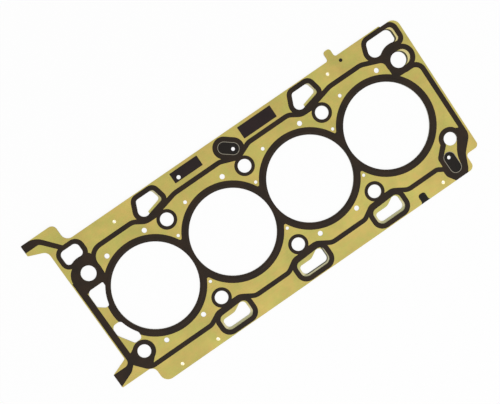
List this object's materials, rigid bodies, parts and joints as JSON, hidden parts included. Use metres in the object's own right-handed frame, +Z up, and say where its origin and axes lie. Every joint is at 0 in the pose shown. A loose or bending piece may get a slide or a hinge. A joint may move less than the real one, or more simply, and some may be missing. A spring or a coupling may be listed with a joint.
{
  "type": "cylinder head gasket",
  "caption": "Flat multi-layer steel cylinder head gasket with round bore openings in line, bolt holes, fluid windows and a printed black sealing network.",
  "frame": {"origin": "midway between the second and third bore axes, on the plane of the block deck, where the lower bead crests rest", "axes": "+X along the row of bores towards the plain right end, +Y across the engine towards the long edge with the locating tab, +Z up towards the cylinder head"},
  "size_m": [0.4216, 0.1881, 0.0018],
  "materials": {
    "gold_coated_steel": "satin gold-tinted coating",
    "olive_coated_steel": "satin olive coating",
    "bare_steel": "rolled bright",
    "rivet_steel": "bright",
    "seal_elastomer": "matt printed elastomer",
    "marking_print": "matt printed ink"
  },
  "bodies": {
    "root": {"upper_functional_layer": "gold_coated_steel", "upper_seal_print": "seal_elastomer", "short_marking_patch": "marking_print", "long_marking_patch": "marking_print", "carrier_layer": "olive_coated_steel", "middle_pocket_print": "seal_elastomer", "end_pocket_print": "seal_elastomer", "notch_print": "seal_elastomer", "gauge_hole_print": "seal_elastomer", "stopper_ring_1": "bare_steel", "stopper_ring_2": "bare_steel", "stopper_ring_3": "bare_steel", "stopper_ring_4": "bare_steel", "lower_functional_layer": "gold_coated_steel", "lower_seal_print": "seal_elastomer", "layer_rivets": "rivet_steel"}
  },
  "joints": []
}
